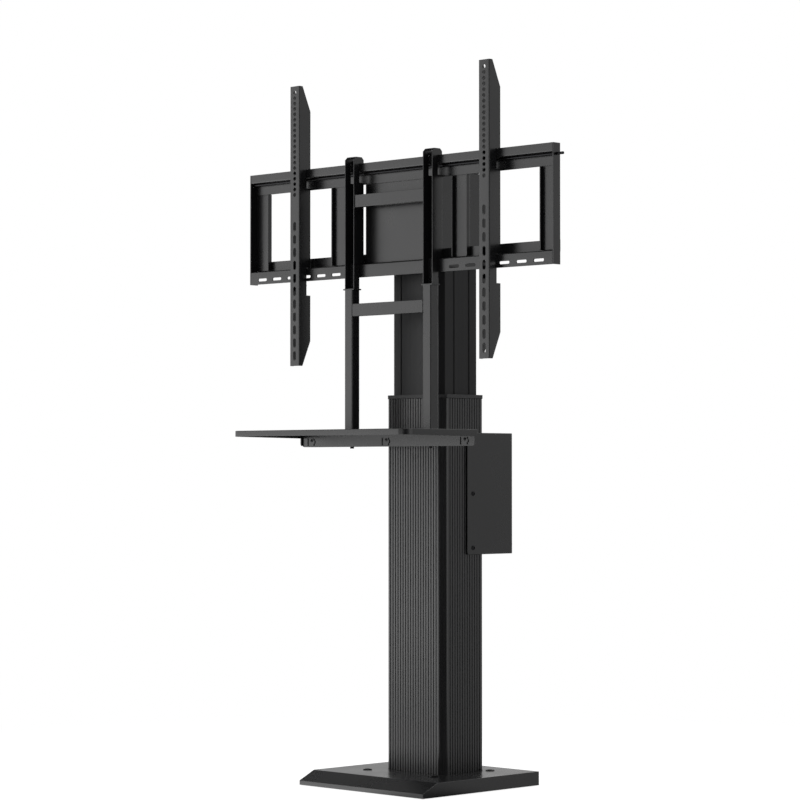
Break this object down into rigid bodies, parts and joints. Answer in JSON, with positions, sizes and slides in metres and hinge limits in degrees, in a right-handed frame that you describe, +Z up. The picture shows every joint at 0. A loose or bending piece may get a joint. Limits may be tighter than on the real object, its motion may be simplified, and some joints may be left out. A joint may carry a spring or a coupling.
{
  "type": "motorized display lift stand",
  "caption": "Motorized floor stand for a large display: a ribbed telescopic column on a flat base, a wide mounting frame with slotted arms, and a hook-on shelf.",
  "frame": {"origin": "on the floor, under the axis of the column", "axes": "+Z up along the column, -Y towards the viewer of the display, +X to that viewer's right"},
  "size_m": [0.979, 0.533, 1.603],
  "materials": {
    "coated_steel": "satin black powder coat",
    "anodised_ribs": "ribbed extrusion, dark grey anodised",
    "anodised_tube": "smooth extrusion, dark grey anodised",
    "black_plastic": "fine matt grain",
    "glide_plastic": "natural sliding plastic",
    "black_fasteners": "black oxide",
    "bright_steel": "ground and zinc plated",
    "nut_bronze": "machined bronze"
  },
  "bodies": {
    "base": {"base_plate": "coated_steel", "base_cover": "coated_steel", "anchor_sleeves": "black_fasteners", "column_foot": "coated_steel", "outer_profile": "anodised_ribs", "outer_collar": "black_plastic", "outer_glides": "glide_plastic", "nut_tube": "bright_steel", "drive_nut": "nut_bronze", "rear_cover": "coated_steel", "cover_spacers": "black_fasteners", "control_unit": "black_plastic", "mains_inlet": "black_plastic"},
    "lift": {"inner_profile": "anodised_tube", "inner_glides": "glide_plastic", "inner_top_plate": "coated_steel", "drive_plate": "bright_steel", "gearbox": "bright_steel", "drive_motor": "bright_steel", "left_head_bracket": "coated_steel", "right_head_bracket": "coated_steel", "centre_plate": "coated_steel", "top_rail": "coated_steel", "bottom_rail": "coated_steel", "left_outer_upright": "coated_steel", "right_outer_upright": "coated_steel", "left_inner_upright": "coated_steel", "right_inner_upright": "coated_steel", "locking_bar": "black_fasteners"},
    "spindle": {"spindle": "bright_steel"},
    "left_arm": {"left_arm": "coated_steel", "left_arm_lock": "black_fasteners"},
    "right_arm": {"right_arm": "coated_steel", "right_arm_lock": "black_fasteners"},
    "hanger": {"left_hook_channel": "coated_steel", "right_hook_channel": "coated_steel", "upper_cross_bar": "coated_steel", "lower_cross_bar": "coated_steel", "left_hanger_tube": "coated_steel", "right_hanger_tube": "coated_steel", "hanger_seats": "coated_steel", "tube_plugs": "black_plastic", "tube_screws": "black_fasteners", "shelf_bracket": "coated_steel", "shelf_tray": "coated_steel"}
  },
  "joints": [
    {"name": "column_lift", "type": "slide", "parent": "base", "child": "lift", "axis": [0, 0, 1], "range_m": [-0.25, 0.35]},
    {"name": "spindle_spin", "type": "hinge", "parent": "lift", "child": "spindle", "pos_m": [0, 0, 1.18], "axis": [0, 0, 1], "continuous": true},
    {"name": "left_arm_slide", "type": "slide", "parent": "lift", "child": "left_arm", "axis": [1, 0, 0], "range_m": [-0.1, 0.1]},
    {"name": "right_arm_slide", "type": "slide", "parent": "lift", "child": "right_arm", "axis": [1, 0, 0], "range_m": [-0.1, 0.1]},
    {"name": "hanger_slide", "type": "slide", "parent": "lift", "child": "hanger", "axis": [1, 0, 0], "range_m": [-0.025, 0.025]}
  ],
  "couplings": [
    {"joint": "spindle_spin", "follows": "column_lift", "rad_per_m": 314.16}
  ]
}
